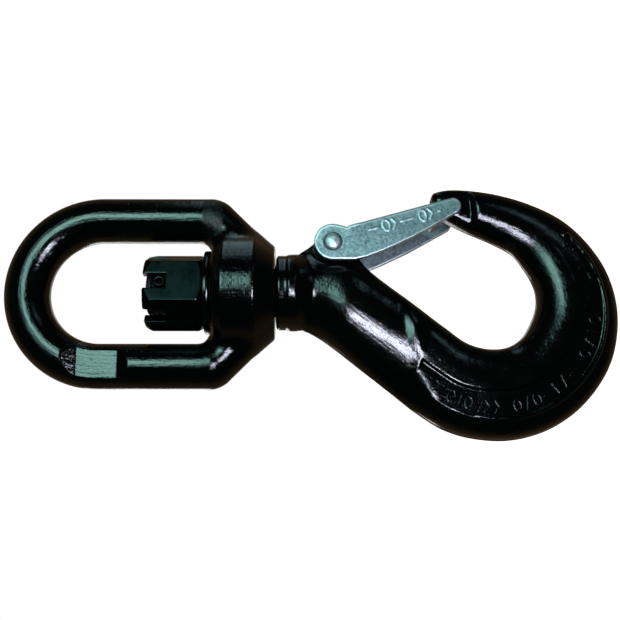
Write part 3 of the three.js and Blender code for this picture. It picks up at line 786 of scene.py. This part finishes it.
out = CHEEK_IN + SHEET
dome_turns = np.linspace(0, math.pi / 2 * 0.98, 14)[1:]
dome = [(0.03 + 3.85 * math.cos(a), out + 0.1 + 1.8 * math.sin(a)) for a in dome_turns]
peened = [(0.02, -out - 1.5), (2.4, -out - 1.45), (3.2, -out - 1.1), (3.6, -out - 0.6), (3.6, -out - 0.1)]
rivet_profile = [*peened, (2.5, -out), (2.5, out), (3.88, out + 0.1), *dome, (0.01, out + 1.9)]
rivet_place = Matrix.Translation((PIVOT[0] * MM, 0, PIVOT[1] * MM)) @ Matrix.Rotation(math.pi / 2, 4, "X")
rivet = turned("latch_rivet_fine", rivet_profile, 64, rivet_place)
finish_piece(rivet, bright, "latch", "latch_rivet")


def wire(name, points, radius):
    """A round wire bent along the points, in millimetres."""
    cu = bpy.data.curves.new(name, "CURVE")
    cu.dimensions = "3D"
    sp = cu.splines.new("POLY")
    sp.points.add(len(points) - 1)
    for q, co in zip(sp.points, points):
        q.co = (*[c * MM for c in co], 1)
    cu.bevel_depth, cu.bevel_resolution, cu.use_fill_caps = radius * MM, 3, True
    tmp = bpy.data.objects.new(name + "_curve", cu)
    bpy.context.collection.objects.link(tmp)
    dg = bpy.context.evaluated_depsgraph_get()
    me = bpy.data.meshes.new_from_object(tmp.evaluated_get(dg))
    bpy.data.objects.remove(tmp)
    me.name = name
    me.polygons.foreach_set("use_smooth", np.ones(len(me.polygons), bool))
    ob = bpy.data.objects.new(name, me)
    bpy.context.collection.objects.link(ob)
    return ob


def latch_point(u, v, y):
    """A point given along the latch, toward its web, and across."""
    x = PIVOT[0] + u * math.sin(TILT) + v * math.cos(TILT)
    z = PIVOT[1] - u * math.cos(TILT) + v * math.sin(TILT)
    return (x, y, z)


COIL_R, COIL_FROM, COIL_PITCH, COIL_TURN = 3.95, 6.5, 1.25, 892


def spring_half(s):
    """From the middle of the latch to one coil, around the rivet, and down to the leg on the hook."""
    pts = [latch_point(26.6, 0.9, s * 2.2), latch_point(25.2, 0.9, s * 3.6), latch_point(14, 1.3, s * 5.2)]
    for i in range(31):
        turn = COIL_TURN * i / 30
        a = math.radians(58 + turn)
        y = s * (COIL_FROM + COIL_PITCH * turn / 360)
        pts.append(latch_point(COIL_R * math.cos(a), COIL_R * math.sin(a), y))
    return pts + [latch_point(2.2, -7.0, s * (COIL_FROM + COIL_PITCH * COIL_TURN / 360))]


spring_path = smooth_line(spring_half(-1)[::-1] + [latch_point(27, 0.9, 0)] + spring_half(1), 5)
spring = wire("latch_spring_wire", spring_path.tolist(), 0.6)
spring.data.materials.append(bright)
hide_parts("latch_spring")
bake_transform(spring)

# ---------------------------------------------------------------- camera, floor and light
FOCAL_LENGTH = 919.2 / 620  # in widths of the picture
centre = (cad_box[0] + cad_box[1]) / 2
aim, reach = Vector((-0.00701, 0, -0.10549)), 0.3731
view = Matrix((Vector((0, 0, -1)), Vector((1, 0, 0)), Vector((0, 1, 0))))  # rows: right, up, look
for row, degrees in enumerate((11.59, -0.55, -0.04)):
    turn = Matrix.Rotation(math.radians(degrees), 3, view[row])
    view = Matrix([turn @ v for v in view])
right, up, look = view
cam_data = bpy.data.cameras.new("camera")
cam_data.sensor_width, cam_data.lens = 36, 36 * FOCAL_LENGTH
cam = bpy.data.objects.new("camera", cam_data)
bpy.context.collection.objects.link(cam)
cam.matrix_world = Matrix.Translation(aim - look * reach) @ Matrix((right, up, -look)).transposed().to_4x4()
cam_data.clip_start, cam_data.clip_end = 0.01, 60
bpy.context.scene.camera = cam


def lamp(name, tilt, turn, distance, size, radiance, colour):
    """An area light, seen from the middle of the part at tilt (from -Y toward +X) and turn (toward +Z)."""
    a, b = math.radians(tilt), math.radians(turn)
    toward = Vector((math.sin(a) * math.cos(b), -math.cos(a) * math.cos(b), math.sin(b)))
    data = bpy.data.lights.new(name, "AREA")
    data.shape, data.size, data.size_y = "RECTANGLE", size[0], size[1]
    data.energy, data.color = radiance * math.pi * size[0] * size[1], colour
    ob = bpy.data.objects.new(name, data)
    bpy.context.collection.objects.link(ob)
    side = Vector((math.cos(a), math.sin(a), 0))
    across = toward.cross(side)
    facing = Matrix((across, side, toward)).transposed().to_4x4()
    ob.matrix_world = Matrix.Translation(centre + toward * distance) @ facing
    return ob


lamp("window", 13, 13, 2.0, (0.50, 0.72), 7.5, (0.50, 1.0, 0.86))
lamp("window_glow", 11, 17, 2.2, (1.05, 1.15), 1.6, (0.50, 0.95, 1.0))
lamp("ceiling", 90, 5, 1.2, (0.14, 1.1), 1.1, (0.55, 0.9, 1.0))
lamp("shelf", 36, -24, 2.0, (0.20, 0.40), 1.6, (0.55, 0.9, 1.0))
flash_lamp = lamp("phone_flash", -11.7, -6.3, 0.308, (0.085, 0.06), 34, (0.80, 0.84, 1.0))
flash_lamp.visible_diffuse = False
# the back is not in the photo; these two only make it readable, and they are neutral
for behind in (
    lamp("back_window", 196, 12, 2.0, (0.5, 0.8), 2.6, (0.95, 0.98, 1.0)),
    lamp("back_glow", 166, -8, 2.0, (0.9, 1.3), 0.8, (0.95, 0.98, 1.0)),
):
    behind.visible_camera = False

world = bpy.data.worlds.new("studio")
bpy.context.scene.world = world
world.use_nodes = True
wt = world.node_tree
bg = wt.nodes["Background"]
direction = node(wt, "ShaderNodeTexCoord").outputs["Generated"]
xyz = node(wt, "ShaderNodeSeparateXYZ", {"Vector": direction})
height = node(wt, "ShaderNodeMapRange", {"Value": xyz.outputs["Y"], "From Min": -1, "From Max": 1})
room = ramp(wt, height.outputs["Result"], [
    (0.0, (0.012, 0.014, 0.014)), (0.45, (0.012, 0.018, 0.014)),  # the dark room in front
    (0.60, (0.10, 0.07, 0.035)), (1.0, (0.16, 0.11, 0.06))])  # and the brown table behind
path = node(wt, "ShaderNodeLightPath")
mix = node(wt, "ShaderNodeMix", {"Factor": path.outputs["Is Camera Ray"]}, data_type="RGBA")
wt.links.new(room, mix.inputs["A"])
mix.inputs["B"].default_value = (1, 1, 1, 1)
wt.links.new(mix.outputs["Result"], bg.inputs["Color"])
bg.inputs["Strength"].default_value = 1.0

floor_me = bpy.data.meshes.new("floor")
size, drop = 6.0, cad_box[0].z - 0.30
corners = [(-size, -size, drop), (size, -size, drop), (size, size, drop), (-size, size, drop)]
floor_me.from_pydata(corners, [], [(0, 1, 2, 3)])
floor = bpy.data.objects.new("floor", floor_me)
bpy.context.collection.objects.link(floor)
pale = {"Base Color": (0.9, 0.9, 0.89, 1), "Roughness": 0.9}
glow = {"Emission Color": (1, 1, 1, 1), "Emission Strength": 1.0}
floor_me.materials.append(material("pale_floor", **pale, **glow)[0])
floor.visible_glossy = floor.visible_diffuse = False

bpy.context.scene.view_settings.view_transform = "Standard"
